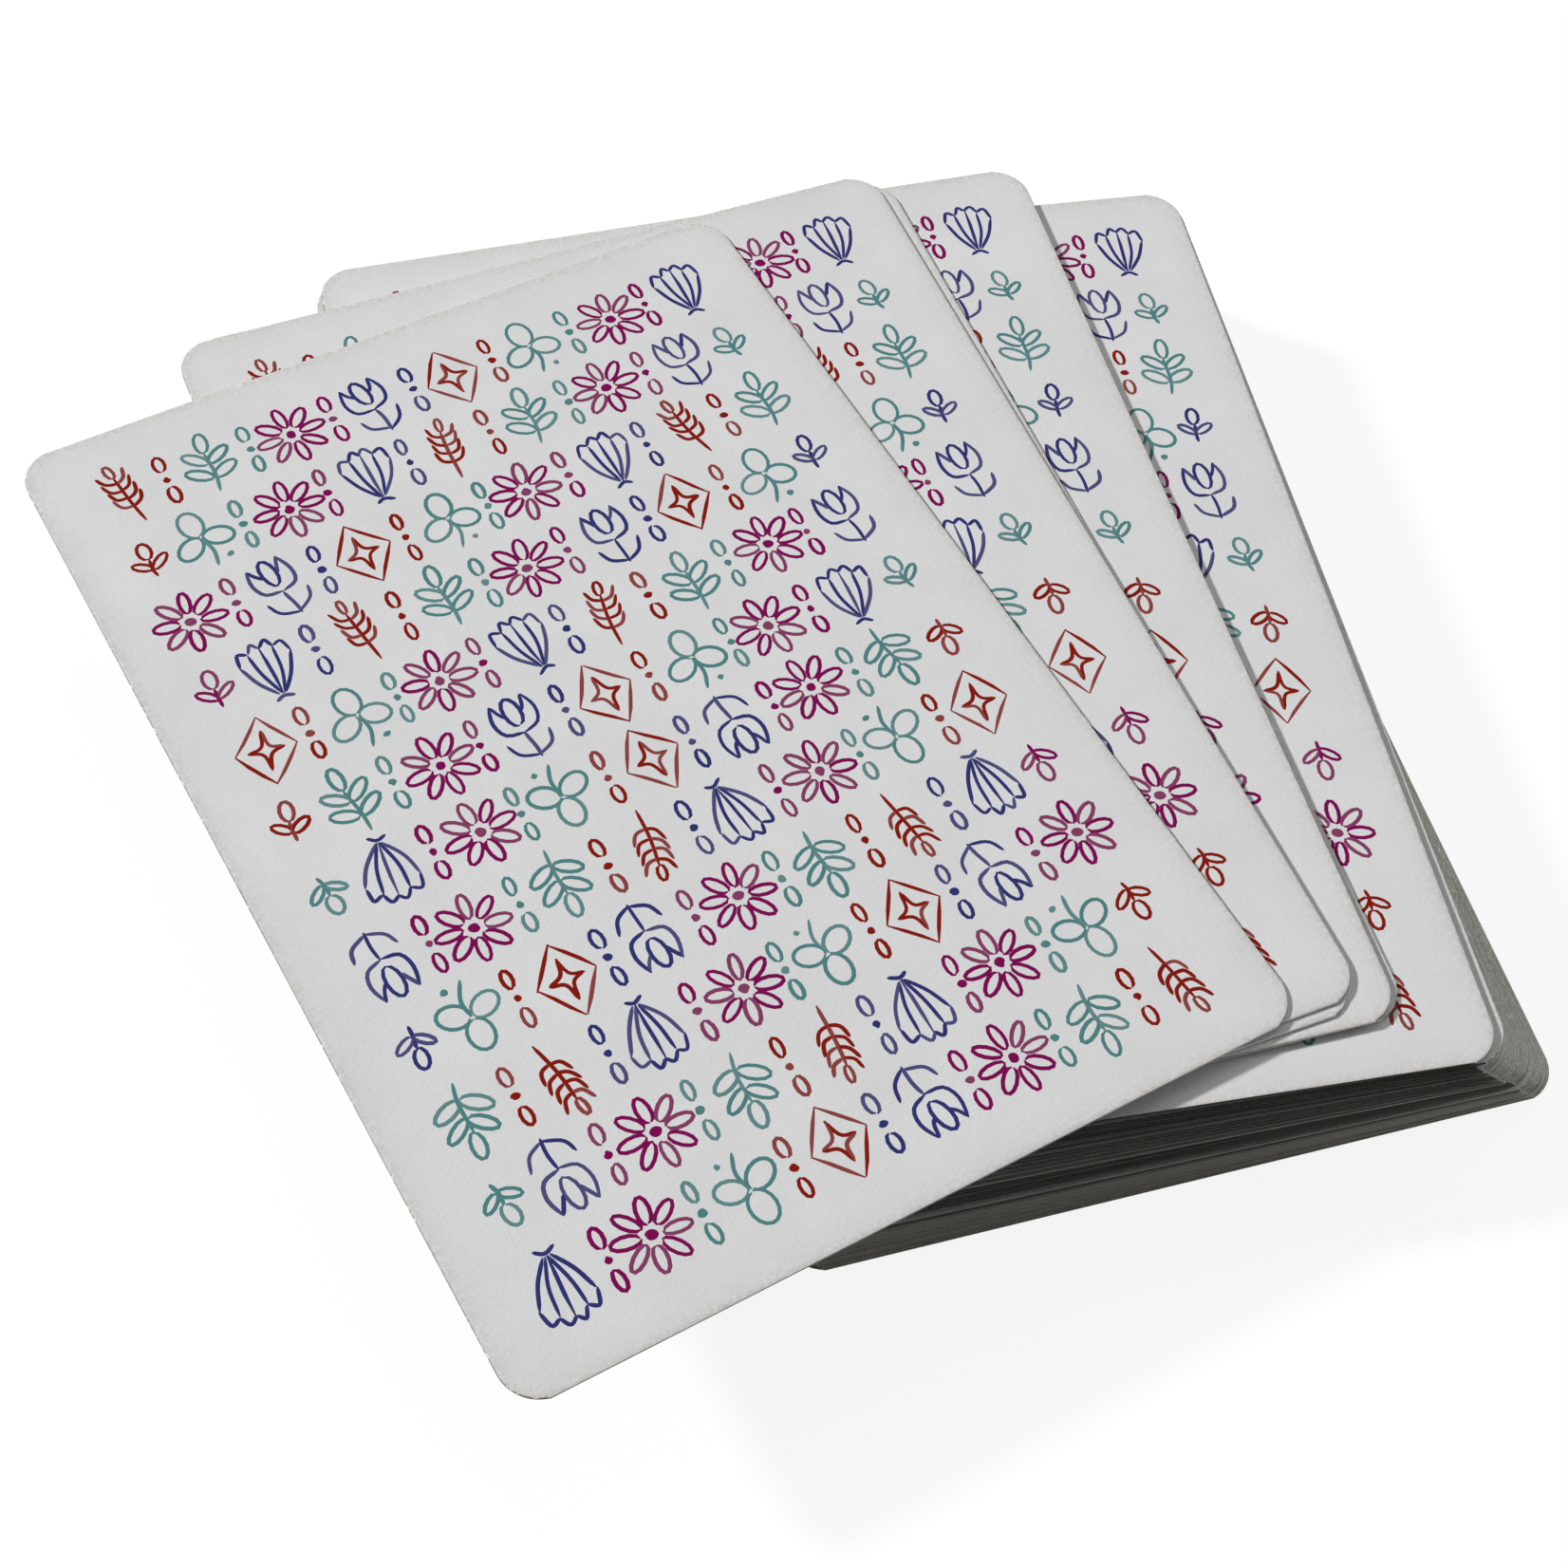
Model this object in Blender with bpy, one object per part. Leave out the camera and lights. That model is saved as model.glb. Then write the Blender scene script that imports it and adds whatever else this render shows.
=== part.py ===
# Playing card deck: a leaning pile of loose cards, face down, with its top cards fanned out to the left.
# Metres, +Z up. The origin is the middle of the bottom card's underside, X runs along its short side
# and Y along its long side, away from the viewer. Every card turns about one upright axis, the point
# near the pile's front edge where a thumb pinches the cards to fan them.

import math
import random

import bpy
from mathutils import Matrix, Vector

MM = 0.001

# Card blank
CARD_WIDTH = 63.5 * MM
CARD_LENGTH = 88.9 * MM
CARD_THICKNESS = 0.28 * MM
CORNER_RADIUS = 3.2 * MM
CORNER_STEPS = 8

# The punch that rounds the corners sits a little beyond the short ends of the card
CORNER_OVERSHOOT = 0.08 * MM

# Air between one card of the pile and the next, and under its top card, which has bowed up
PILE_CLEARANCE = 0.044 * MM
TOP_CLEARANCE = 0.35 * MM

# Where the thumb pinches the cards, measured on the bottom card
PINCH_FROM_RIGHT_EDGE = 29.75 * MM
PINCH_FROM_NEAR_EDGE = 10.45 * MM

# Lean of the pile: how far its top card has slid and turned against its bottom card
PILE_SLIDE_LEFT = 10.4 * MM
PILE_SLIDE_NEAR = 1.15 * MM
PILE_TURN = -4.7

# Packets left by the last cut: the middle one sits a little further back than those above and below it
LOWER_PACKET = 16
MIDDLE_PACKET = 9
MIDDLE_PACKET_BACK = 0.35 * MM

# The second card of the pile peeps out beside the top one
PEEPING_CARD_RIGHT = 0.76 * MM
PEEPING_CARD_TURN = 0.36

# Hand-squared cards never line up exactly
UNEVEN_SIDEWAYS = 0.03 * MM
UNEVEN_ENDWAYS = 0.1 * MM
UNEVEN_TURN = 0.04
UNEVEN_SEED = 7

# Fanned cards from the top down: slide to the left, slide away from the viewer, turn to the left in degrees,
# air under the card
FAN_CARDS = (
    (27.0 * MM, 2.73 * MM, 13.72, 0.08 * MM),
    (20.86 * MM, 3.14 * MM, 7.05, 0.03 * MM),
    (21.29 * MM, 2.46 * MM, 5.91, 0.03 * MM),
    (17.7 * MM, 2.13 * MM, -0.23, 0.25 * MM),
    (17.0 * MM, 2.2 * MM, 0.67, 0.03 * MM),
)

RANKS = (
    "ace", "two", "three", "four", "five", "six", "seven",
    "eight", "nine", "ten", "jack", "queen", "king",
)

STOCK_COLOUR = (0.66, 0.66, 0.64, 1.0)
STOCK_ROUGHNESS = 0.55


def clear_scene():
    for old in list(bpy.data.objects):
        bpy.data.objects.remove(old, do_unlink=True)


def cards_from_the_top():
    # Order of a new deck lying face down: hearts and clubs rise, diamonds and spades fall, jokers last
    order = [f"{rank}_of_hearts" for rank in RANKS]
    order += [f"{rank}_of_clubs" for rank in RANKS]
    order += [f"{rank}_of_diamonds" for rank in reversed(RANKS)]
    order += [f"{rank}_of_spades" for rank in reversed(RANKS)]
    order += ["first_joker", "second_joker"]
    return order


def card_stock():
    stock = bpy.data.materials.new("coated_card_stock")
    stock.use_nodes = True
    shader = stock.node_tree.nodes["Principled BSDF"]
    shader.inputs["Base Color"].default_value = STOCK_COLOUR
    shader.inputs["Roughness"].default_value = STOCK_ROUGHNESS
    shader.inputs["Metallic"].default_value = 0.0
    return stock


def card_outline():
    # Four corner arcs, joined by the straight edges between them. An arc leaves the long edge smoothly
    # and meets the short end at a slight angle
    from_end = CORNER_RADIUS - CORNER_OVERSHOOT
    sweep = math.asin(from_end / CORNER_RADIUS)
    reach_x = CARD_WIDTH / 2 - CORNER_RADIUS
    reach_y = CARD_LENGTH / 2 - from_end
    corners = (
        (reach_x, reach_y, 0.0),
        (-reach_x, reach_y, math.pi - sweep),
        (-reach_x, -reach_y, math.pi),
        (reach_x, -reach_y, 2 * math.pi - sweep),
    )
    points = []
    for middle_x, middle_y, start in corners:
        for step in range(CORNER_STEPS + 1):
            angle = start + sweep * step / CORNER_STEPS
            x = middle_x + CORNER_RADIUS * math.cos(angle)
            y = middle_y + CORNER_RADIUS * math.sin(angle)
            points.append((x, y))
    return points


def card_blank(stock):
    # Die-cut blank: the flat outline filled on both sides and extruded by half its thickness each way
    blank = bpy.data.curves.new("card_blank", "CURVE")
    blank.dimensions = "2D"
    blank.fill_mode = "BOTH"
    blank.extrude = CARD_THICKNESS / 2
    outline = card_outline()
    spline = blank.splines.new("POLY")
    spline.points.add(len(outline) - 1)
    for point, (x, y) in zip(spline.points, outline):
        point.co = (x, y, 0.0, 1.0)
    spline.use_cyclic_u = True
    blank.materials.append(stock)
    return blank


def pile_places(count):
    # Slide to the left, slide away and turn of each card in the pile, from the bottom card up
    uneven = random.Random(UNEVEN_SEED)
    places = []
    for level in range(count):
        height = level / (count - 1)
        left = PILE_SLIDE_LEFT * height
        away = -PILE_SLIDE_NEAR * height
        turn = PILE_TURN * height
        if LOWER_PACKET <= level < LOWER_PACKET + MIDDLE_PACKET:
            away += MIDDLE_PACKET_BACK
        if level == count - 2:
            left -= PEEPING_CARD_RIGHT
            turn += PEEPING_CARD_TURN
        if 0 < level < count - 2:
            left += uneven.uniform(-UNEVEN_SIDEWAYS, UNEVEN_SIDEWAYS)
            away += uneven.uniform(-UNEVEN_ENDWAYS, UNEVEN_ENDWAYS)
            turn += uneven.uniform(-UNEVEN_TURN, UNEVEN_TURN)
        places.append((left, away, turn))
    return places


def pile_airs(count):
    # Air under each card in the pile, from the bottom card up
    return [0.0] + [PILE_CLEARANCE] * (count - 2) + [TOP_CLEARANCE]


def card_heights(airs):
    # Height of each card's middle plane, from the bottom card up
    heights = []
    stacked = 0.0
    for air in airs:
        heights.append(stacked + air + CARD_THICKNESS / 2)
        stacked += air + CARD_THICKNESS
    return heights


def fan_axis(deck):
    # Upright axis through the pinch point, which carries every card
    axis = bpy.data.objects.new("fan_axis", None)
    axis.empty_display_size = CORNER_RADIUS
    axis.location = (
        CARD_WIDTH / 2 - PINCH_FROM_RIGHT_EDGE,
        PINCH_FROM_NEAR_EDGE - CARD_LENGTH / 2,
        0.0,
    )
    deck.objects.link(axis)
    return axis


def lay_card(deck, axis, blank, name, place, height):
    # The card is laid square on the bottom card, slid left and away, then turned about the fan axis
    left, away, turn = place
    angle = math.radians(turn)
    square = Vector((-left, away, 0.0)) - Vector((axis.location.x, axis.location.y, 0.0))
    card = bpy.data.objects.new(name, blank)
    card.parent = axis
    card.location = Matrix.Rotation(angle, 3, "Z") @ square + Vector((0.0, 0.0, height))
    card.rotation_euler = (0.0, 0.0, angle)
    deck.objects.link(card)


def build_deck():
    clear_scene()
    deck = bpy.data.collections.new("playing_card_deck")
    bpy.context.scene.collection.children.link(deck)
    names = cards_from_the_top()
    pile_count = len(names) - len(FAN_CARDS)
    fan = list(reversed(FAN_CARDS))
    places = pile_places(pile_count) + [card[:3] for card in fan]
    heights = card_heights(pile_airs(pile_count) + [card[3] for card in fan])
    axis = fan_axis(deck)
    blank = card_blank(card_stock())
    for level, (place, height) in enumerate(zip(places, heights)):
        from_top = len(names) - level
        name = f"card_{from_top:02d}_{names[from_top - 1]}"
        lay_card(deck, axis, blank, name, place, height)


build_deck()
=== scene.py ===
import math

import bpy
import numpy as np
from mathutils import Matrix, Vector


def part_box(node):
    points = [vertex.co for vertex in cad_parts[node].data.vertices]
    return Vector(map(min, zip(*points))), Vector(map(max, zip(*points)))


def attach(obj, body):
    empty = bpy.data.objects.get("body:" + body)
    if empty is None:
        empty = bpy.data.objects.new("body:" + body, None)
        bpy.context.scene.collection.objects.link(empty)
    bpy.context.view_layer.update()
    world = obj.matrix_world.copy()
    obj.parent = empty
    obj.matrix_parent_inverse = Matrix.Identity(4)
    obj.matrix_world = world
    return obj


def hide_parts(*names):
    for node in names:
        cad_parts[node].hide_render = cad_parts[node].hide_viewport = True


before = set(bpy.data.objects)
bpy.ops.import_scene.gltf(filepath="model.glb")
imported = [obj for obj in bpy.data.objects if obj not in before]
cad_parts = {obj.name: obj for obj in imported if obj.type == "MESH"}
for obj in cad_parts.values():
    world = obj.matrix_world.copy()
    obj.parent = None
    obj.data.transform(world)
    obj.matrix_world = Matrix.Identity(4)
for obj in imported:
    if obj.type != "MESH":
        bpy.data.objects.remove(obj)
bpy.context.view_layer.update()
mm = 0.001
print("frame:", len(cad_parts), "cards")


# a node of the given kind: settings are set, inputs that are sockets are linked, other inputs are values
def shaderNode(tree, kind, inputs=(), **settings):
    made = tree.nodes.new("ShaderNode" + kind)
    for key, value in settings.items():
        setattr(made, key, value)
    for key, value in dict(inputs).items():
        if isinstance(value, bpy.types.NodeSocket):
            tree.links.new(value, made.inputs[key])
        else:
            made.inputs[key].default_value = value
    return made


# a new material with its node tree and its shader
def newFinish(name):
    material = bpy.data.materials.new(name)
    material.use_nodes = True
    tree = material.node_tree
    return material, tree, tree.nodes["Principled BSDF"]


# noise of a scale, with as many finer layers as its detail says
def noiseOf(tree, place, scale, detail, roughness=0.5):
    return shaderNode(
        tree, "TexNoise", {"Vector": place, "Scale": scale, "Detail": detail, "Roughness": roughness}
    ).outputs["Fac"]


# a value stretched so that its span runs over the whole reach, and held there at both ends
def stretched(tree, value, span=(0.0, 1.0), reach=(0.0, 1.0)):
    return shaderNode(
        tree, "MapRange",
        {"Value": value, "From Min": span[0], "From Max": span[1], "To Min": reach[0], "To Max": reach[1]},
    ).outputs["Result"]


# the first colour turned into the second by a share
def mixedColour(tree, share, first, second):
    return shaderNode(tree, "Mix", {0: share, 6: first, 7: second}, data_type="RGBA").outputs[2]


# a shader embossed by a height and dulled by a roughness, with one specular level all over
def textured(tree, shader, look, height, rough):
    bump = shaderNode(
        tree, "Bump", {"Height": height, "Strength": look["emboss"], "Distance": look["embossDepth"]}
    )
    tree.links.new(bump.outputs[0], shader.inputs["Normal"])
    tree.links.new(rough, shader.inputs["Roughness"])
    shader.inputs["Specular IOR Level"].default_value = look["specular"]


# a screen colour of 0 to 255 as the linear colour that a shader takes
def screenColour(red, green, blue):
    share = np.array([red, green, blue]) / 255
    linear = np.where(share <= 0.04045, share / 12.92, ((share + 0.055) / 1.055) ** 2.4)
    return [*linear.tolist(), 1.0]


# a card's middle is the middle of its box, its turn the way that its largest upright face looks
def cardPlace(node):
    faces = node.data.polygons
    area = np.empty(len(faces))
    normal = np.empty(3 * len(faces))
    faces.foreach_get("area", area)
    faces.foreach_get("normal", normal)
    normal = normal.reshape(-1, 3)
    upright = np.abs(normal[:, 2]) < 0.1
    side = normal[np.argmax(area * upright)]
    low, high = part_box(node.name)
    return np.array((low + high) / 2), math.atan(side[1] / side[0])


# points in a card's own millimetres, turned about the upright axis and carried to the card's middle
def onCard(points, place):
    middle, turn = place
    across = np.array([math.cos(turn), math.sin(turn), 0.0])
    along = np.array([-math.sin(turn), math.cos(turn), 0.0])
    return middle + mm * (
        points[:, :1] * across + points[:, 1:2] * along + points[:, 2:] * np.array([0.0, 0.0, 1.0])
    )


# a smooth mesh whose faces take their finishes from a list
def newMesh(name, points, faces, slots, finishes):
    mesh = bpy.data.meshes.new(name)
    mesh.from_pydata(points, [], faces)
    mesh.polygons.foreach_set("material_index", slots)
    mesh.polygons.foreach_set("use_smooth", np.ones(len(faces), bool))
    for finish in finishes:
        mesh.materials.append(finish)
    mesh.update()
    return mesh


# a finished mesh as an object at the origin that rides on a body
def newPiece(name, mesh, body):
    piece = bpy.data.objects.new(name, mesh)
    bpy.context.scene.collection.objects.link(piece)
    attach(piece, body)
    return piece


# Card stock
cardStock = {
    "width": 63.48,
    "length": 88.84,
    "thickness": 0.252,      # the ink on both sides brings it to the full 0.28
    "cornerRadius": 3.2,
    "cornerOvershoot": 0.08,      # how far the corner punch sits beyond the short ends
    "cornerSteps": 12,
    "burrWidth": 0.14,      # torn fibre where the punch leaves a short end
    "burrStep": 0.07,      # how far it stands out from the corner
    # section of the sheet from its back, round the cut edge, to its face:
    # inset from the outline in mm, height as a share of half the thickness, handling wear
    "section": (
        (2.6, 1.0, 0.0), (0.9, 1.0, 0.25), (0.3, 1.0, 0.7), (0.06, 1.0, 1.0),
        (0.015, 0.84, 1.0), (0.0, 0.55, 1.0), (0.0, -0.6, 1.0), (0.02, -0.88, 1.0),
        (0.07, -1.0, 1.0), (0.3, -1.0, 0.7), (0.9, -1.0, 0.25), (2.6, -1.0, 0.0),
    ),
    "toneSeed": 11,
    "fanned": 5,      # cards from the top that lie fanned out
}


# one corner is an arc from the long edge towards the short end: its sine stops one burr step short of that
# end, and a last point carries the burr out to it. The other corners are its mirror images. The section's
# insets shrink arc and end alike and its heights lift them, so ring i is the outline moved in by inset i and
# lifted to height i
def sheetSurface(stock):
    inset, height, wear = np.array(stock["section"]).T
    radius = (stock["cornerRadius"] - inset)[:, None]
    fromEnd = radius - stock["cornerOvershoot"] - stock["burrStep"]
    angle = np.arcsin(fromEnd / radius) * np.linspace(0, 1, stock["cornerSteps"] + 1)
    arc = np.stack([radius * np.cos(angle), radius * np.sin(angle)], 2)
    burr = arc[:, -1:] + (-stock["burrWidth"], stock["burrStep"])
    reach = np.array([stock["width"], stock["length"]]) / 2 - stock["cornerRadius"]
    corner = np.concatenate([arc, burr], 1) + reach + (0, stock["cornerOvershoot"])
    back = corner[:, ::-1]
    flat = np.concatenate([corner, back * (-1, 1), -corner, back * (1, -1)], 1)
    lift = np.broadcast_to((height * stock["thickness"] / 2)[:, None, None], flat.shape[:2] + (1,))
    points = np.concatenate([flat, lift], 2)

    rings, steps = flat.shape[:2]
    grid = np.arange(rings * steps).reshape(rings, steps)
    after = np.roll(grid, -1, axis=1)
    quads = np.stack([grid[:-1], grid[1:], after[1:], after[:-1]], 2)
    coated = np.abs(height[1:] + height[:-1]) > 1.99      # both heights lie on the back or on the face
    edge, nearEnd, torn = 1, 2, 3      # places in the list of finishes, where 0 is the coating
    bend = [edge] * stock["cornerSteps"]
    farSide = bend + [torn, edge, torn] + bend + [edge]
    nearSide = bend + [torn, nearEnd, torn] + bend + [edge]
    rimSlots = np.array(farSide + nearSide)

    # faces are mapped by their place in centimetres, the cut edge by its arc length and height
    cm = 0.1
    rim = flat[np.argmin(inset)]
    way = cm * np.concatenate([[0], np.cumsum(np.linalg.norm(np.roll(rim, -1, 0) - rim, axis=1))])
    flatMap = cm * flat.reshape(-1, 2)[quads]
    edgeMap = np.empty_like(flatMap)
    edgeMap[..., :2, 0] = way[:-1, None]
    edgeMap[..., 2:, 0] = way[1:, None]
    edgeMap[..., (0, 3), 1] = height[:-1, None, None]
    edgeMap[..., (1, 2), 1] = height[1:, None, None]
    sheetMap = np.where(coated[:, None, None, None], flatMap, edgeMap).reshape(-1, 2)
    capMap = cm * np.concatenate([flat[0], flat[-1][::-1]])
    faces = quads.reshape(-1, 4).tolist() + [grid[0].tolist(), grid[-1][::-1].tolist()]
    slots = np.concatenate([(~coated[:, None] * rimSlots).ravel(), [0, 0]])
    return {
        "points": points.reshape(-1, 3),
        "faces": faces,
        "slots": slots,
        "map": np.concatenate([sheetMap, capMap]),
        "wear": np.repeat(wear, steps),
    }


coating = {
    "white": screenColour(217, 217, 218),
    "shade": screenColour(211, 211, 212),
    "handled": screenColour(190, 186, 180),
    "mottleScale": 1.4,      # patches to the cm
    "mottleSpan": (0.32, 0.68),
    "rubSpan": (0.3, 0.7),
    "linenPitch": 0.036,      # cm between embossed threads
    "linenStray": 1.6,
    "linenShare": 0.2,      # how much of them shows through the grain of the coating
    "grainScale": 32.0,      # grains to the cm
    "heightSpan": (0.3, 1.0),
    "roughness": (0.6, 0.42),      # in the hollows, on the high spots
    "emboss": 0.34,
    "embossDepth": 0.08 * mm,
    "specular": 0.35,
    "stride": (31.0, 17.0, 5.0),      # how far apart on the noise two cards may lie
}
waveLength = 0.314      # of a wave texture at scale 1


# a place on the sheet's map, moved by the card's tone times the stride so that each card reads its own noise
def sheetPlace(tree, stride):
    sheet = shaderNode(tree, "UVMap", uv_map="cardSheet").outputs["UV"]
    tone = shaderNode(tree, "Attribute", attribute_name="cardTone").outputs["Fac"]
    shift = shaderNode(tree, "VectorMath", {0: stride, "Scale": tone}, operation="SCALE").outputs[0]
    return shaderNode(tree, "VectorMath", {0: sheet, 1: shift}).outputs[0]


# linen coating: the product of two crossed trains of waves embosses the threads and noise adds the grain,
# broad noise mottles the white, and the handling attribute times the grain greys the rim
def coatingFinish(look):
    material, tree, shader = newFinish("linenCoating")
    place = sheetPlace(tree, look["stride"])
    waves = {
        "Vector": place, "Scale": waveLength / look["linenPitch"], "Distortion": look["linenStray"],
        "Detail": 2.0, "Detail Scale": 1.3,
    }
    across, along = (
        shaderNode(tree, "TexWave", waves, wave_type="BANDS", bands_direction=direction).outputs["Fac"]
        for direction in ("X", "Y")
    )
    linen = shaderNode(tree, "Math", {0: across, 1: along}, operation="MULTIPLY").outputs[0]
    grain = noiseOf(tree, place, look["grainScale"], detail=4.0)
    height = shaderNode(
        tree, "Math", {0: linen, 1: look["linenShare"], 2: grain}, operation="MULTIPLY_ADD"
    ).outputs[0]
    mottle = noiseOf(tree, place, look["mottleScale"], detail=5.0, roughness=0.65)
    white = mixedColour(tree, stretched(tree, mottle, look["mottleSpan"]), look["shade"], look["white"])
    handling = shaderNode(tree, "Attribute", attribute_name="handling").outputs["Fac"]
    rubbed = stretched(tree, grain, look["rubSpan"])
    rim = shaderNode(tree, "Math", {0: handling, 1: rubbed}, operation="MULTIPLY").outputs[0]
    tree.links.new(mixedColour(tree, rim, white, look["handled"]), shader.inputs["Base Color"])
    textured(tree, shader, look, height, stretched(tree, height, look["heightSpan"], look["roughness"]))
    return material


edgeFibre = {
    "drawnOut": (14.0, 2.2, 1.0),      # along the edge, across it
    "fibreScale": 2.0,
    "patchScale": 1.1,
    "span": (0.7, 1.3),      # of fibres and patches together
    "roughness": (0.75, 0.95),
    "emboss": 0.5,
    "embossDepth": 0.03 * mm,
    "specular": 0.08,
    "stride": (13.0, 7.0, 3.0),
}
cutEdge = {
    "pale": screenColour(203, 204, 190),
    "dark": screenColour(134, 135, 123),
    "grain": 0.5,
    "fleck": screenColour(245, 245, 234),      # loose ends of fibre
    "flecks": (26.0, 0.4, 1.0),      # of them to the cm along the edge, and to half the thickness
    "fleckSpan": (0.57, 0.69),
    "spread": 0.15,      # how far one card's edge may be lighter or darker than the middle tone
}
# near ends of the pile's cards: painted shade, dark up the pile, with painted highlights on a few cards
paintedShadeEnd = {
    "pale": screenColour(226, 224, 211),
    "dark": screenColour(62, 61, 54),
    "grain": 0.12,
    # how pale the near ends of the pile's cards are, as painted shade that darkens them up the pile: card
    # counted from the bottom, share of pale
    "packets": (
        (0, 0.98), (6, 0.98), (12, 0.9), (13, 0.7), (14, 0.17), (16, 0.13), (24, 0.1), (25, 0.17),
        (32, 0.14), (36, 0.1), (40, 0.04), (44, 0.0), (48, 0.0),
    ),
    "scatter": 0.06,
    # painted highlights: cards whose near ends are painted pale as if they stood a little proud and caught
    # the light
    "paintedHighlights": {15: 1.0, 20: 0.4, 26: 0.75, 29: 0.45, 33: 0.4, 37: 0.3, 41: 0.15},
}
# torn fibre at the corner burrs and on the fanned cards' near ends: white paper fibre made whiter than the
# coating, partly a painted highlight
tornFibreHighlight = {
    "pale": screenColour(250, 249, 247),
    "dark": screenColour(232, 231, 227),
    "grain": 0.3,
}


# cut edge: noise drawn out along the edge lays the fibres of the plies, broader noise adds patches, and an
# attribute makes the whole edge of a card lighter or darker; their sum mixes the dark tone with the pale one.
# Where a third noise passes the start of its span, it strews flecks
def cutEdgeFinish(name, look, lightness):
    material, tree, shader = newFinish(name)
    place = sheetPlace(tree, edgeFibre["stride"])
    light = shaderNode(tree, "Attribute", attribute_name=lightness).outputs["Fac"]
    drawn = shaderNode(tree, "Mapping", {"Vector": place, "Scale": edgeFibre["drawnOut"]}).outputs[0]
    fibre = noiseOf(tree, drawn, edgeFibre["fibreScale"], detail=4.0)
    patch = noiseOf(tree, place, edgeFibre["patchScale"], detail=3.0)
    both = shaderNode(tree, "Math", {0: fibre, 1: patch}, operation="ADD").outputs[0]
    uneven = stretched(tree, both, edgeFibre["span"], (-look["grain"], look["grain"]))
    share = shaderNode(tree, "Math", {0: light, 1: uneven}, operation="ADD", use_clamp=True).outputs[0]
    colour = mixedColour(tree, share, look["dark"], look["pale"])
    if "fleck" in look:
        strewn = shaderNode(tree, "Mapping", {"Vector": place, "Scale": look["flecks"]}).outputs[0]
        loose = stretched(tree, noiseOf(tree, strewn, scale=1.0, detail=2.0), look["fleckSpan"])
        colour = mixedColour(tree, loose, colour, look["fleck"])
    tree.links.new(colour, shader.inputs["Base Color"])
    textured(tree, shader, edgeFibre, fibre, stretched(tree, fibre, reach=edgeFibre["roughness"]))
    return material


# lightness of a card's near end, which is painted shade: read off the packets by the card's level, scattered
# a little; the cards with painted highlights take those instead
def endTone(level, tone, look):
    share = np.interp(level, *np.array(look["packets"]).T) + look["scatter"] * (2 * tone - 1)
    return look["paintedHighlights"].get(level, share)


# the sheet carried to its card's place, with its map, its wear and the card's own tones
def stockMesh(name, place, sheet, finishes, tones):
    mesh = newMesh(name, onCard(sheet["points"], place), sheet["faces"], sheet["slots"], finishes)
    mesh.uv_layers.new(name="cardSheet").uv.foreach_set("vector", sheet["map"].ravel())
    mesh.attributes.new("handling", "FLOAT", "POINT").data.foreach_set("value", sheet["wear"])
    for key, tone in tones.items():
        values = np.full(len(sheet["points"]), tone)
        mesh.attributes.new(key, "FLOAT", "POINT").data.foreach_set("value", values)
    return mesh


# Printing: every mark is a pen stroke, a line of points with a half width at each of them
inkPrint = {
    "base": 0.128,      # mm from the sheet's middle: where the ink starts and the height of its ridge
    "ridge": 0.14,
    "penWidth": 0.31,
    "penLift": 0.62,      # share of the width that a stroke loses at its ends
    "penSpread": (0.9, 1.1),      # how much thinner or fatter a stroke may come out
    "creaseFrom": 40.0,      # degrees between two faces from which an edge is sharp
    "thinShare": 0.4,      # share of the strokes that came out paler
    "thinLift": 0.07,      # how far those go towards the tone of the card
    "cardTone": 0.62,
    "sinkScale": 2600.0,      # spots to the metre
    "roughness": (0.4, 0.7),
    "emboss": 0.25,
    "embossDepth": 0.02 * mm,
    "specular": 0.06,
    "seed": 5,
}
inks = {
    "teal": screenColour(78, 127, 127),
    "navy": screenColour(46, 48, 108),
    "purple": screenColour(121, 2, 80),
    "russet": screenColour(129, 20, 4),
    "red": screenColour(170, 22, 28),
    "black": screenColour(28, 28, 30),
}


# a smooth line through points: cubic pieces whose slope at a point is half the step between its neighbours
def penLine(points, count):
    p = np.asarray(points, float)
    p = np.concatenate([2 * p[:1] - p[1:2], p, 2 * p[-1:] - p[-2:-1]])
    at = np.linspace(0, len(p) - 3, count)
    piece = np.minimum(at.astype(int), len(p) - 4)
    f = (at - piece)[:, None]
    a, b, c, d = (p[piece + k] for k in range(4))
    return b + 0.5 * f * (c - a + f * (2 * a - 5 * b + 4 * c - d + f * (3 * (b - c) + d - a)))


# an almond outline: out from base to tip and back, its distance from the midrib a sine of the way round
def leafLoop(base, tip, belly, count):
    base, tip = np.asarray(base, float), np.asarray(tip, float)
    rib = tip - base
    side = np.array([-rib[1], rib[0]]) / np.linalg.norm(rib)
    turn = np.linspace(0, 2 * math.pi, count)[:, None]
    return base + (1 - np.cos(turn)) / 2 * rib + belly * np.sin(turn) * side


# a pen line with four points where it is straight and the given number where it bends
def penStroke(points, bent):
    return penLine(points, 4 if len(points) == 2 else bent)


# pen pressure: half the width along the stroke, falling away over its ends with the eighth power of the way
def penPressure(count, width):
    way = np.linspace(-1, 1, count)
    return width / 2 * (1 - inkPrint["penLift"] * way**8)


# a dot: half widths follow a circle over the dot's own diameter
def inkDot(x, y, radius, count=7):
    way = -np.cos(np.linspace(0, math.pi, count))
    points = np.stack([x + radius * way, np.full(count, y)], 1)
    return points, radius * np.sqrt(np.maximum(1 - way**2, 0.004))      # its ends are never quite points


# turned by an angle, scaled, then moved
def placed(points, turn=0.0, scale=1.0, move=(0.0, 0.0)):
    spin = np.array([[math.cos(turn), -math.sin(turn)], [math.sin(turn), math.cos(turn)]])
    return scale * np.asarray(points) @ spin.T + np.asarray(move)


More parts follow.
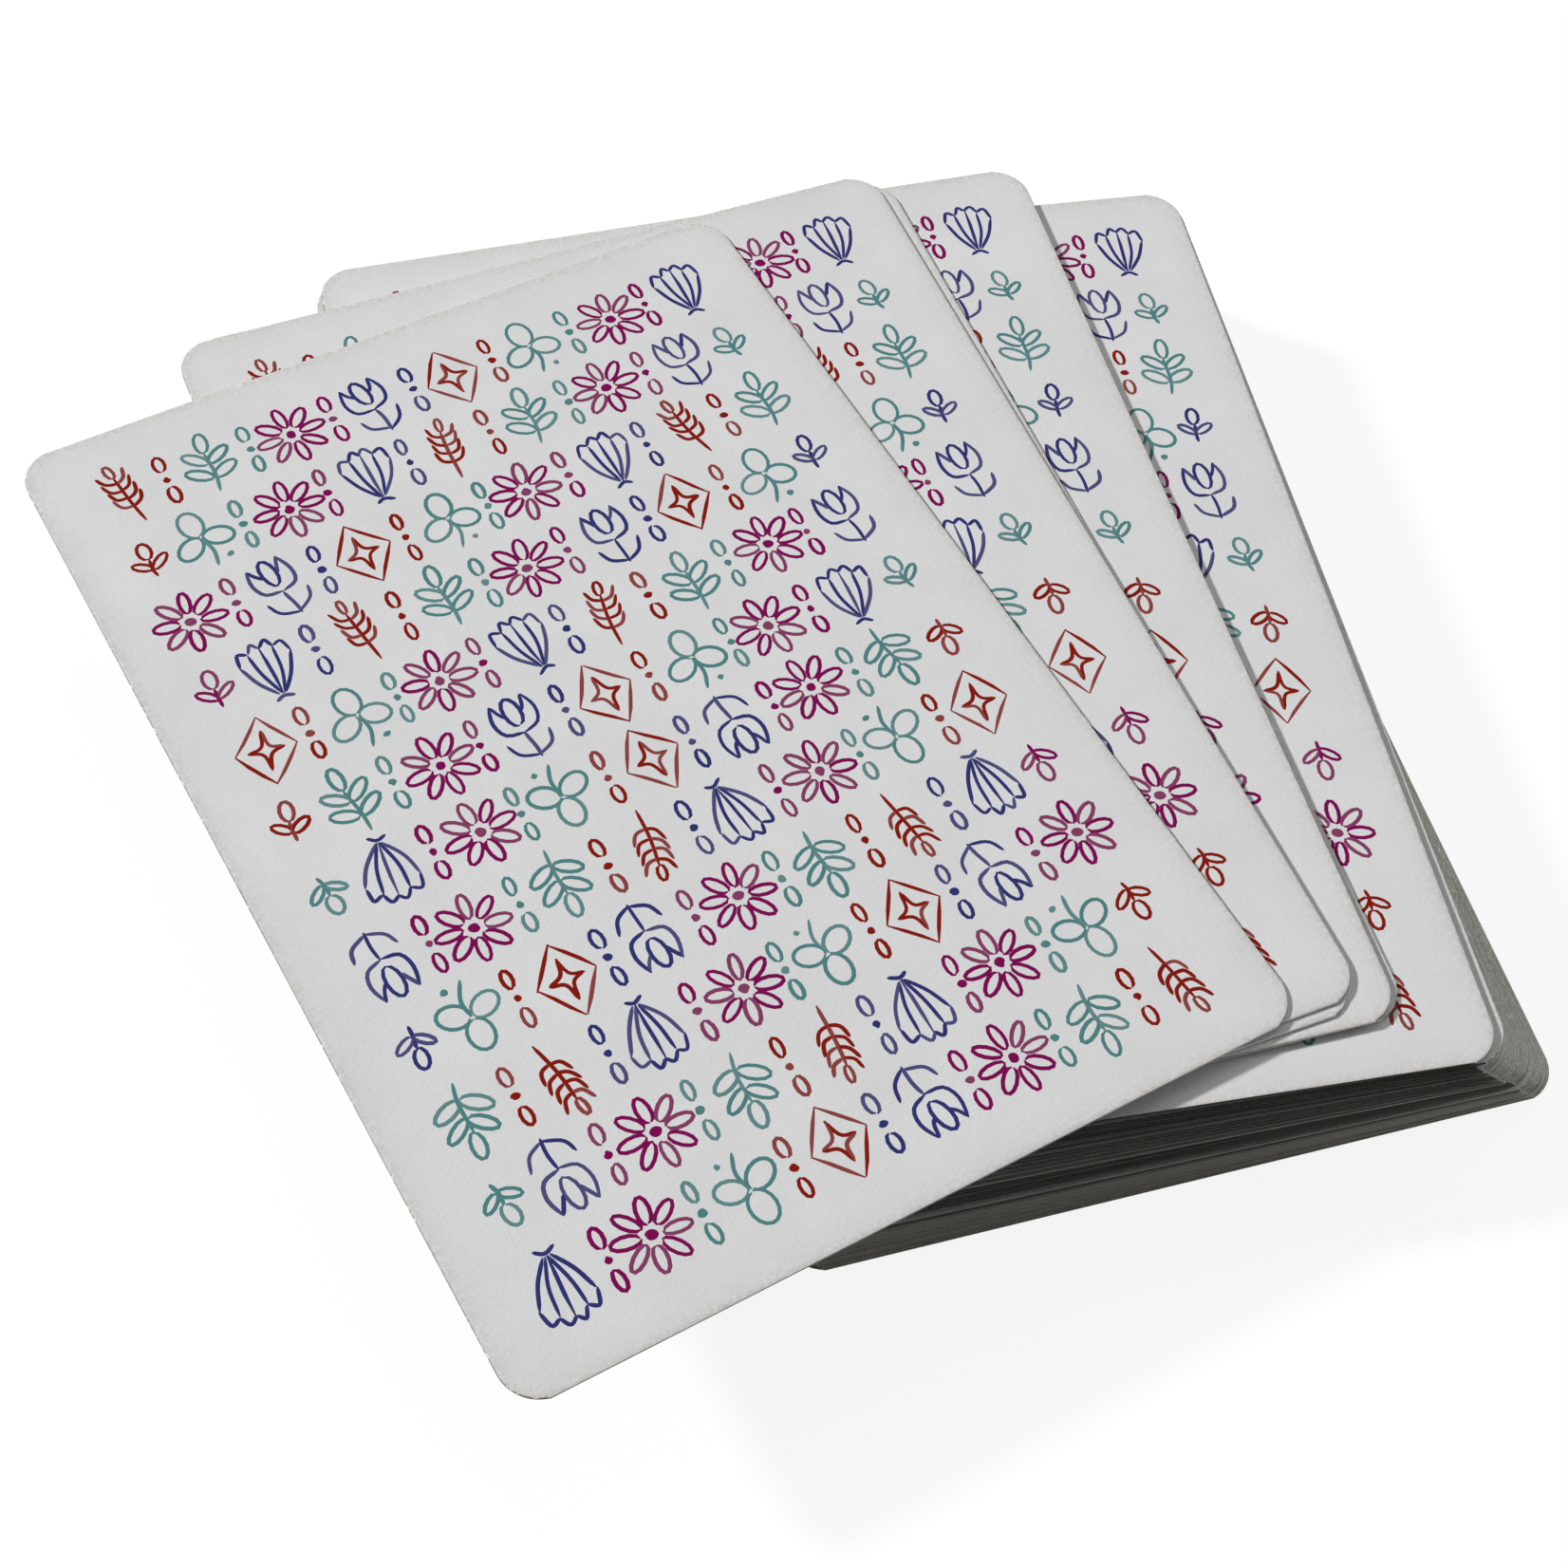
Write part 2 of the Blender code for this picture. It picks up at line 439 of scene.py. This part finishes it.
# low ridges: at each point of a stroke a left and a right foot stand one half width off the line and the
# ridge stands between them; strokes with the same number of points are worked out together
def inkRidges(strokes, look):
    allPoints, allFaces, allSlots, start = [], [], [], 0
    for count in sorted({len(s[0]) for s in strokes}):
        group = [s for s in strokes if len(s[0]) == count]
        line = np.stack([s[0] for s in group])
        half = np.stack([s[1] for s in group])[..., None]
        slot = np.array([s[2] for s in group])
        way = np.gradient(line, axis=1)
        way /= np.linalg.norm(way, axis=2, keepdims=True)
        left = np.stack([-way[..., 1], way[..., 0]], 2) * half
        level = np.ones_like(half)
        points = np.stack([
            np.concatenate([line + left, level * look["base"]], 2),
            np.concatenate([line, level * look["ridge"]], 2),
            np.concatenate([line - left, level * look["base"]], 2),
        ], 2)
        index = start + np.arange(points[..., 0].size).reshape(points.shape[:3])
        here, there = index[:, :-1], index[:, 1:]
        quads = [
            np.stack([here[..., i], there[..., i], there[..., k], here[..., k]], 2)
            for i, k in ((1, 0), (2, 1), (0, 2))
        ]
        ends = np.concatenate([index[:, 0][:, (0, 2, 1)], index[:, -1][:, (2, 0, 1)]])
        allPoints.append(points.reshape(-1, 3))
        allFaces += np.concatenate(quads, 1).reshape(-1, 4).tolist() + ends.tolist()
        allSlots.append(np.concatenate([np.repeat(slot, 3 * (count - 1)), slot, slot]))
        start += points[..., 0].size
    return np.concatenate(allPoints), allFaces, np.concatenate(allSlots)


# motifs in mm, drawn upright: lines and leaves on the middle line, and pairs that are mirrored left to right
motifs = {
    "sprig": {
        "ink": "teal",
        "lines": [((-0.1, -3.1), (0.12, -1.2), (0, 1.1))],
        "leaves": [((0, 1.0), (0.05, 3.15), 0.55)],
        "leafPairs": [((0.05, -1.6), (2.1, -0.45), 0.52), ((0.02, -0.15), (1.85, 1.25), 0.48)],
    },
    "clover": {
        "ink": "teal",
        "lines": [((0, 0), (0.15, -1.5), (-0.45, -3.0))],
        "leaves": [((0, 0.25), (0, 2.9), 0.95)],
        "leafPairs": [((0.15, 0.05), (2.35, -1.05), 0.9)],
        "dots": [(0.95, -2.6, 0.26)],
    },
    "tulip": {
        "ink": "navy",
        "lines": [((0, -3.1), (0.08, -1.8), (0, -0.5))],
        "linePairs": [
            ((0, -0.5), (1.35, -0.1), (1.75, 1.2), (1.35, 2.75)),
            ((1.35, 2.75), (1.0, 1.9), (0.66, 1.3)),
            ((0, -2.9), (1.3, -2.2), (1.8, -1.0)),
        ],
        "leaves": [((0, 0.2), (0, 2.9), 0.62)],
    },
    "shell": {
        "ink": "navy",
        "lines": [((0, -2.4), (0, 2.3)), ((-0.75, -2.95), (0, -2.6), (0.75, -2.95))],
        "linePairs": [
            ((0.1, -2.4), (0.78, -0.2), (1.02, 2.0)),
            ((0.22, -2.4), (1.4, -0.7), (2.1, 1.1)),
            ((0, 2.3), (0.55, 2.8), (1.02, 2.0)),
            ((1.02, 2.0), (1.8, 2.25), (2.1, 1.1)),
        ],
    },
    "daisy": {
        "ink": "purple",
        "petals": (8, 0.8, 2.95, 0.46),
        "dots": [(0, 0, 0.42)],
    },
    "lozenge": {
        "ink": "russet",
        "linePairs": [
            ((0, 3.15), (2.35, 0)),
            ((2.35, 0), (0, -3.15)),
            ((0, 1.85), (0.34, 0.42), (1.4, 0)),
            ((1.4, 0), (0.34, -0.42), (0, -1.85)),
        ],
    },
    "wheat": {
        "ink": "russet",
        "lines": [((0.1, -3.2), (-0.05, -0.6), (0, 2.0))],
        "leaves": [((0, 1.9), (0, 3.3), 0.3)],
        "linePairs": [((0, y), (0.8, y + 0.35), (1.2, y + 1.3)) for y in (-1.4, -0.5, 0.4, 1.3)],
    },
}
backDesign = {
    "order": ("sprig", "daisy", "tulip", "lozenge", "clover", "daisy", "shell", "wheat"),
    "scale": 1.0,
    "columns": 8,
    "columnPitch": 7.2,
    "rows": 12,
    "rowPitch": 6.85,
    "rowStep": 3,      # how far the order moves on from one row to the next
    "lean": 11.0,      # degrees that a motif may lean either way
    "stray": 0.25,      # mm that it may stray
    "wobble": 0.05,      # mm that a stroke swings from its line
    "wobbleWay": 4.0,      # radians of that swing along one stroke
    "ringDot": 0.32,      # radius of the dot between two rings
    "ring": (0.85, 2.5, 0.42),      # near end, far end and belly of a ring, counted from the dot
    "fineCards": 6,      # cards from the top whose strokes get all their points; the rest get this share
    "plainShare": 0.5,
    "endsAt": 26.1,      # mm from the middle line: buds that fill the ends of the shorter rows
}
rowEnd = {
    "lines": [((0.05, -1.75), (-0.05, -0.8), (0, 0.1))],
    "leaves": [((0, 0.1), (0, 1.85), 0.55)],
    "leafPairs": [((0.02, -0.9), (1.45, 0.1), 0.36)],
}
mirror = np.array([-1.0, 1.0])


# points on a leaf's outline: the fuller its belly, the more of them, times the detail
def leafPoints(belly, detail):
    return max(6, round(detail * (7 + 10 * belly)))


# every stroke of one motif as lines of points: bent lines get ten points times the detail, petals turn about
# the middle in equal steps, and pairs come twice, the second time mirrored
def motifLines(motif, detail=1.0):
    bent = max(5, round(10 * detail))
    lines = [penStroke(p, bent) for p in motif.get("lines", ())]
    pairs = [penStroke(p, bent) for p in motif.get("linePairs", ())]
    leaves = [leafLoop(*leaf, leafPoints(leaf[2], detail)) for leaf in motif.get("leaves", ())]
    pairs += [leafLoop(*leaf, leafPoints(leaf[2], detail)) for leaf in motif.get("leafPairs", ())]
    if "petals" in motif:
        petals, inner, outer, belly = motif["petals"]
        petal = leafLoop((0, inner), (0, outer), belly, leafPoints(belly, detail))
        leaves += [placed(petal, 2 * math.pi * k / petals) for k in range(petals)]
    return lines + leaves + pairs + [p * mirror for p in pairs]


# the back: rows of motifs, every other row set half a pitch aside, with rings between them. Each stroke
# swings about its line as a sine, and the near half is the far half turned by half a turn about the card's
# middle
def backStrokes(design, look, detail):
    rng = np.random.default_rng(look["seed"])
    slots = {name: 2 * k for k, name in enumerate(inks)}
    width = look["penWidth"]
    dotPoints = max(5, round(9 * detail))
    ringStart, ringEnd, ringBelly = design["ring"]
    ringPoints = leafPoints(ringBelly, detail)
    strokes = []

    def draw(points, half, ink):
        phase = rng.uniform(0, 2 * math.pi, 2)
        along = np.linspace(0, design["wobbleWay"], len(points))[:, None]
        points = points + design["wobble"] * np.sin(along + phase)
        half = half * rng.uniform(*look["penSpread"])
        slot = slots[ink] + int(rng.random() < look["thinShare"])
        strokes.append((points, half, slot))
        strokes.append((-points, half, slot))

    for row in range(design["rows"] // 2):
        y = (row + 0.5) * design["rowPitch"]
        count = design["columns"] - (row + 1) % 2
        xs = (np.arange(count) - (count - 1) / 2) * design["columnPitch"]
        between = (xs[1:] + xs[:-1]) / 2
        if count < design["columns"]:
            xs = np.append(xs, (-design["endsAt"], design["endsAt"]))
        first = design["rowStep"] * row
        kinds = [design["order"][(first + k) % len(design["order"])] for k in range(len(xs))]
        for k, x in enumerate(xs):
            motif = motifs[kinds[k]] if k < count else rowEnd
            ink = motifs[kinds[k]]["ink"]
            turn = math.radians(rng.uniform(-design["lean"], design["lean"]))
            move = (x, y) + rng.uniform(-design["stray"], design["stray"], 2)
            for points in motifLines(motif, detail):
                draw(placed(points, turn, design["scale"], move), penPressure(len(points), width), ink)
            for dotX, dotY, radius in motif.get("dots", ()):
                points, half = inkDot(dotX, dotY, radius, dotPoints)
                draw(placed(points, turn, design["scale"], move), half, ink)
        for k, x in enumerate(between):
            ink = motifs[kinds[k]]["ink"]
            draw(*inkDot(x, y, design["ringDot"], dotPoints), ink)
            for up in (-1, 1):
                ring = leafLoop((x, y + up * ringStart), (x, y + up * ringEnd), ringBelly, ringPoints)
                draw(ring, penPressure(len(ring), width), ink)
    return strokes


# Faces
facePrint = {
    "indexAt": (-27.0, 37.6),
    "indexSize": 3.6,
    "indexPen": 0.2,      # as a share of the index
    "indexPoints": 14,      # on a bent line
    "indexPip": 6.4,      # mm below the index
    "smallPip": 4.2,
    "pip": 11.0,
    "courtPip": 26.0,
    "columns": 12.6,      # mm from the middle to the outer columns and rows of pips
    "rows": 26.5,
    "frame": (21.0, 35.5),      # half of its width and of its length
    "frameGap": 1.0,
    "framePen": 0.35,
    "jokerScale": 4.5,
    "jokerPen": 0.9,
}
indexLines = {
    "ace": [((-0.5, -0.7), (0, 0.7)), ((0, 0.7), (0.5, -0.7)), ((-0.3, -0.2), (0.3, -0.2))],
    "two": [((-0.42, 0.35), (-0.2, 0.68), (0.25, 0.65), (0.4, 0.3), (0.1, -0.15), (-0.45, -0.68)),
            ((-0.45, -0.68), (0.45, -0.68))],
    "three": [((-0.4, 0.5), (0, 0.7), (0.38, 0.4), (0.0, 0.05)),
              ((0.0, 0.05), (0.45, -0.3), (0.05, -0.7), (-0.42, -0.45))],
    "four": [((0.2, -0.7), (0.2, 0.7)), ((0.2, 0.7), (-0.45, -0.25)), ((-0.45, -0.25), (0.48, -0.25))],
    "five": [((0.4, 0.68), (-0.32, 0.68)), ((-0.32, 0.68), (-0.38, 0.08)),
             ((-0.38, 0.08), (0.1, 0.18), (0.43, -0.25), (0.05, -0.7), (-0.42, -0.5))],
    "six": [((0.32, 0.62), (-0.2, 0.4), (-0.42, -0.25), (0, -0.7), (0.4, -0.3), (0, 0.06), (-0.38, -0.2))],
    "seven": [((-0.42, 0.68), (0.42, 0.68)), ((0.42, 0.68), (0, 0), (-0.12, -0.7))],
    "eight": [((0, 0.03), (-0.35, 0.37), (0, 0.7), (0.35, 0.37), (0, 0.03)),
              ((0, 0.03), (-0.43, -0.33), (0, -0.7), (0.43, -0.33), (0, 0.03))],
    "nine": [((-0.32, -0.62), (0.2, -0.4), (0.42, 0.25), (0, 0.7), (-0.4, 0.3), (0, -0.06), (0.38, 0.2))],
    "ten": [((-0.5, -0.7), (-0.5, 0.7)),
            ((0.2, 0.7), (-0.15, 0), (0.2, -0.7), (0.55, 0), (0.2, 0.7))],
    "jack": [((0.3, 0.7), (0.3, -0.3), (0, -0.7), (-0.35, -0.4))],
    "queen": [((0, 0.7), (-0.45, 0), (0, -0.7), (0.45, 0), (0, 0.7)), ((0.1, -0.3), (0.5, -0.75))],
    "king": [((-0.38, -0.7), (-0.38, 0.7)), ((0.42, 0.7), (-0.38, -0.05)), ((-0.1, 0.18), (0.45, -0.7))],
    "joker": [((-0.5, 0.16), (0.5, 0.16)), ((0.5, 0.16), (-0.32, -0.5)), ((-0.32, -0.5), (0, 0.6)),
              ((0, 0.6), (0.32, -0.5)), ((0.32, -0.5), (-0.5, 0.16))],
}
third = 1 / 3
pipPlaces = {
    "ace": [(0, 0)],
    "two": [(0, 1), (0, -1)],
    "three": [(0, 1), (0, 0), (0, -1)],
    "four": [(x, y) for x in (-1, 1) for y in (1, -1)],
    "five": [(x, y) for x in (-1, 1) for y in (1, -1)] + [(0, 0)],
    "six": [(x, y) for x in (-1, 1) for y in (1, 0, -1)],
    "seven": [(x, y) for x in (-1, 1) for y in (1, 0, -1)] + [(0, 0.5)],
    "eight": [(x, y) for x in (-1, 1) for y in (1, 0, -1)] + [(0, 0.5), (0, -0.5)],
    "nine": [(x, y) for x in (-1, 1) for y in (1, third, -third, -1)] + [(0, 0)],
    "ten": [(x, y) for x in (-1, 1) for y in (1, third, -third, -1)] + [(0, 2 * third), (0, -2 * third)],
}


# a suit sign one unit high out of fat strokes: a diamond narrows straight to both points, a heart is two
# lobes that swell to their tops, a spade is a heart turned over on a stem, a club three dots on a stem
def suitSign(suit, count=11):
    way = np.linspace(-1, 1, count)
    if suit == "diamonds":
        line = np.stack([0 * way, 0.55 * way], 1)
        return [(line, np.maximum(0.42 * (1 - np.abs(way)) ** 1.1, 0.01))]
    stem = (penLine(((0, 0.05), (0, -0.2), (0, -0.55)), 8), np.linspace(0.03, 0.2, 8) ** 1.2)
    if suit == "clubs":
        return [inkDot(0, 0.27, 0.26), inkDot(-0.27, -0.1, 0.26), inkDot(0.27, -0.1, 0.26), stem]
    rise = (way + 1) / 2
    lobe = penLine(((0, -0.5), (0.13, -0.16), (0.225, 0.2), (0.225, 0.46)), count)
    swell = 0.235 * np.sin(math.pi / 2 * np.minimum(rise / 0.72, 1)) ** 0.9
    swell = np.maximum(swell * np.sqrt(np.clip((1 - rise) / 0.28, 0, 1)), 0.01)
    heart = [(lobe, swell), (lobe * mirror, swell)]
    if suit == "hearts":
        return heart
    return [(-points, half) for points, half in heart] + [stem]


# the face of one card: two corner indices, then pips in columns and rows; court cards get a frame and one
# large sign, jokers a frame and a daisy. What lies in the lower half is turned by half a turn
def faceStrokes(rank, suit, look):
    colour = "red" if suit in ("hearts", "diamonds") else "black"
    slot = 2 * list(inks).index(colour)
    strokes = []

    def stamp(sign, size, x, y, turned):
        turn = math.pi if turned else 0.0
        strokes.extend((placed(p, turn, size, (x, y)), half * size, slot) for p, half in sign)

    x, y = look["indexAt"]
    lines = [penStroke(points, look["indexPoints"]) for points in indexLines[rank]]
    index = [(line, penPressure(len(line), look["indexPen"])) for line in lines]
    for sign in (1, -1):
        stamp(index, look["indexSize"], sign * x, sign * y, sign < 0)
        if rank != "joker":
            below = sign * (y - look["indexPip"])
            stamp(suitSign(suit), look["smallPip"], sign * x, below, sign < 0)
    for column, row in pipPlaces.get(rank, ()):
        size = look["courtPip"] if rank == "ace" else look["pip"]
        stamp(suitSign(suit), size, column * look["columns"], row * look["rows"], row < 0)
    if rank not in pipPlaces:
        wide, high = look["frame"]
        for inset in (0.0, look["frameGap"]):
            corners = np.array([[1, 1], [-1, 1], [-1, -1], [1, -1], [1, 1]]) * (wide - inset, high - inset)
            for side in zip(corners[:-1], corners[1:]):
                line = penLine(side, 4)
                strokes.append((line, penPressure(len(line), look["framePen"]), slot))
        if rank == "joker":
            for points in motifLines(motifs["daisy"]):
                pressure = penPressure(len(points), look["jokerPen"])
                strokes.append((look["jokerScale"] * points, pressure, slot))
        else:
            stamp(suitSign(suit), look["courtPip"], 0, 0, False)
    return strokes


# inks: one even colour each, for a full and a paler stroke, the paler one lifted towards the card's tone. Ink
# is matt where noise says that it sank into the coating
def inkFinish(name, colour, paler, look):
    material, tree, shader = newFinish(name + ("InkThin" if paler else "Ink"))
    place = shaderNode(tree, "TexCoord").outputs["Object"]
    sunk = noiseOf(tree, place, look["sinkScale"], detail=3.0)
    textured(tree, shader, look, sunk, stretched(tree, sunk, reach=look["roughness"]))
    lift = look["thinLift"] if paler else 0.0
    lifted = [c + lift * (look["cardTone"] - c) for c in colour[:3]]
    shader.inputs["Base Color"].default_value = [*lifted, 1.0]
    return material


# the prints of back and face in one mesh, the face turned over about the card's length to look down
def printMesh(name, place, back, face, finishes):
    points = np.concatenate([back[0], face[0] * (-1, 1, -1)])
    faces = back[1] + [[k + len(back[0]) for k in corners] for corners in face[1]]
    mesh = newMesh(name, onCard(points, place), faces, np.concatenate([back[2], face[2]]), finishes)
    mesh.set_sharp_from_angle(angle=math.radians(inkPrint["creaseFrom"]))
    return mesh


sheet = sheetSurface(cardStock)
stockFinishes = [
    coatingFinish(coating),
    cutEdgeFinish("cutEdge", cutEdge, "edgeTone"),
    # the pile's near ends, with painted shade and painted highlights
    cutEdgeFinish("paintedShadeEnd", paintedShadeEnd, "endTone"),
    # torn fibre, white paper fibre and partly a painted highlight
    cutEdgeFinish("tornFibreHighlight", tornFibreHighlight, "edgeTone"),
]
fanFinishes = stockFinishes[:2] + stockFinishes[3:] * 2      # the fanned cards' near ends take the torn-fibre white instead of the painted shade on the pile's near ends
inkFinishes = [
    inkFinish(name, colour, paler, inkPrint) for name, colour in inks.items() for paler in (False, True)
]
fineBack = inkRidges(backStrokes(backDesign, inkPrint, 1.0), inkPrint)
plainBack = inkRidges(backStrokes(backDesign, inkPrint, backDesign["plainShare"]), inkPrint)
print("back print:", len(fineBack[1]), "faces, plain", len(plainBack[1]))
toneRng = np.random.default_rng(cardStock["toneSeed"])
faceCount = 0
for nodeName, node in sorted(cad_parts.items()):
    place = cardPlace(node)
    number, words = nodeName.split("_")[1], nodeName.split("_")[2:]
    rank, suit = ("joker", "none") if "joker" in words else (words[0], words[-1])
    label = "_".join([number] + words)
    tone = toneRng.random()
    tones = {
        "cardTone": tone,
        "edgeTone": 0.5 + cutEdge["spread"] * (2 * tone - 1),
        "endTone": endTone(len(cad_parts) - int(number), tone, paintedShadeEnd),
    }
    finishes = fanFinishes if int(number) <= cardStock["fanned"] else stockFinishes
    stock = newPiece("paper_" + label, stockMesh("paper_" + label, place, sheet, finishes, tones), nodeName)
    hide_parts(nodeName)
    back = fineBack if int(number) <= backDesign["fineCards"] else plainBack
    face = inkRidges(faceStrokes(rank, suit, facePrint), inkPrint)
    newPiece("print_" + label, printMesh("print_" + label, place, back, face, inkFinishes), nodeName)
    faceCount += len(back[1]) + len(face[1]) + len(sheet["faces"])
print("cards:", faceCount, "faces")


# Floor, light and camera
studio = {
    "floorSize": 6.0,
    "floorWhite": 0.13,      # what the camera sees of the floor: part of it lit, the rest glowing
    "floorGlow": 0.89,
    "floorFade": (0.16, 0.6),      # metres from the middle between which it turns plain white
    "floorBounce": 0.34,      # how pale the floor is to everything else
    "ambient": 0.05,
    "lamps": {
        "keyLamp": {"at": (-2.1, 0.95, 1.9), "size": 0.33, "power": 88.0},
        "sideLamp": {"at": (0.8, 0.02, 0.45), "size": 0.5, "power": 2.0},
        "topLamp": {"at": (0.1, 0.4, 1.1), "size": 0.6, "power": 2.0},
    },
}
view = {
    "at": (-67.028 * mm, -115.61 * mm, 185.177 * mm),
    "right": (0.95824, -0.27677, 0.07194),
    "down": (-0.19387, -0.81368, -0.54804),
    "forward": (0.21021, 0.51121, -0.83335),
    "lens": 61.232,
    "sensor": 36.0,
    "clip": (0.005, 20.0),
}


# 1 for rays from the camera and from shiny or clear surfaces, 0 for all others
def seenDirectly(tree):
    path = shaderNode(tree, "LightPath").outputs
    shiny = shaderNode(
        tree, "Math", {0: path["Is Glossy Ray"], 1: path["Is Transmission Ray"]}, operation="MAXIMUM"
    ).outputs[0]
    return shaderNode(tree, "Math", {0: path["Is Camera Ray"], 1: shiny}, operation="MAXIMUM").outputs[0]


# the camera and shiny surfaces see the floor white with its shadow, which fades to plain white with the
# distance from the middle; to other light it is a plain grey
def floorFinish(look):
    material = bpy.data.materials.new("paleFloor")
    material.use_nodes = True
    tree = material.node_tree
    tree.nodes.clear()
    lit = shaderNode(tree, "BsdfDiffuse", {"Color": [look["floorWhite"]] * 3 + [1.0]}).outputs[0]
    glow = shaderNode(tree, "Emission", {"Strength": look["floorGlow"]}).outputs[0]
    near = shaderNode(tree, "AddShader", {0: lit, 1: glow}).outputs[0]
    place = shaderNode(tree, "TexCoord").outputs["Object"]
    distance = shaderNode(tree, "VectorMath", {0: place}, operation="LENGTH").outputs["Value"]
    start, end = look["floorFade"]
    far = shaderNode(
        tree, "MapRange", {"Value": distance, "From Min": start, "From Max": end},
        interpolation_type="SMOOTHSTEP",
    ).outputs["Result"]
    plain = shaderNode(tree, "Emission", {"Strength": 1.0}).outputs[0]
    shown = shaderNode(tree, "MixShader", {0: far, 1: near, 2: plain}).outputs[0]
    dull = shaderNode(tree, "BsdfDiffuse", {"Color": [look["floorBounce"]] * 3 + [1.0]}).outputs[0]
    mixed = shaderNode(tree, "MixShader", {0: seenDirectly(tree), 1: dull, 2: shown}).outputs[0]
    shaderNode(tree, "OutputMaterial", {"Surface": mixed})
    return material


# a square of floor about the middle of the bottom card
def paleFloor(look):
    corners = look["floorSize"] / 2 * np.array([[-1, -1, 0], [1, -1, 0], [1, 1, 0], [-1, 1, 0]])
    mesh = bpy.data.meshes.new("floor")
    mesh.from_pydata(corners, [], [(0, 1, 2, 3)])
    mesh.materials.append(floorFinish(look))
    floor = bpy.data.objects.new("floor", mesh)
    bpy.context.scene.collection.objects.link(floor)


# the world is white to the camera and to shiny surfaces, and a soft ambient to all else
def softWorld(look):
    world = bpy.data.worlds.new("studio")
    world.use_nodes = True
    tree = world.node_tree
    strength = stretched(tree, seenDirectly(tree), reach=(look["ambient"], 1.0))
    tree.nodes["Background"].inputs["Color"].default_value = (1.0, 1.0, 1.0, 1.0)
    tree.links.new(strength, tree.nodes["Background"].inputs["Strength"])
    bpy.context.scene.world = world


# round soft lamps, each aimed at the origin
def studioLamps(look):
    for name, lamp in look["lamps"].items():
        data = bpy.data.lights.new(name, "AREA")
        data.shape = "DISK"
        data.size = lamp["size"]
        data.energy = lamp["power"]
        made = bpy.data.objects.new(name, data)
        made.location = lamp["at"]
        aim = -made.location
        made.rotation_euler = aim.to_track_quat("-Z", "Y").to_euler()
        bpy.context.scene.collection.objects.link(made)


# the camera's axes are the picture's right, up and back as columns
def photoCamera(look):
    data = bpy.data.cameras.new("camera")
    data.lens = look["lens"]
    data.sensor_width = look["sensor"]
    data.clip_start, data.clip_end = look["clip"]
    camera = bpy.data.objects.new("camera", data)
    axes = np.eye(4)
    axes[:3, 0] = look["right"]
    axes[:3, 1] = -np.array(look["down"])
    axes[:3, 2] = -np.array(look["forward"])
    axes[:3, 3] = look["at"]
    camera.matrix_world = Matrix(axes.tolist())
    bpy.context.scene.collection.objects.link(camera)
    bpy.context.scene.camera = camera


paleFloor(studio)
softWorld(studio)
studioLamps(studio)
photoCamera(view)
bpy.context.scene.view_settings.view_transform = "Standard"
print("studio: floor, world,", len(studio["lamps"]), "lamps, camera")
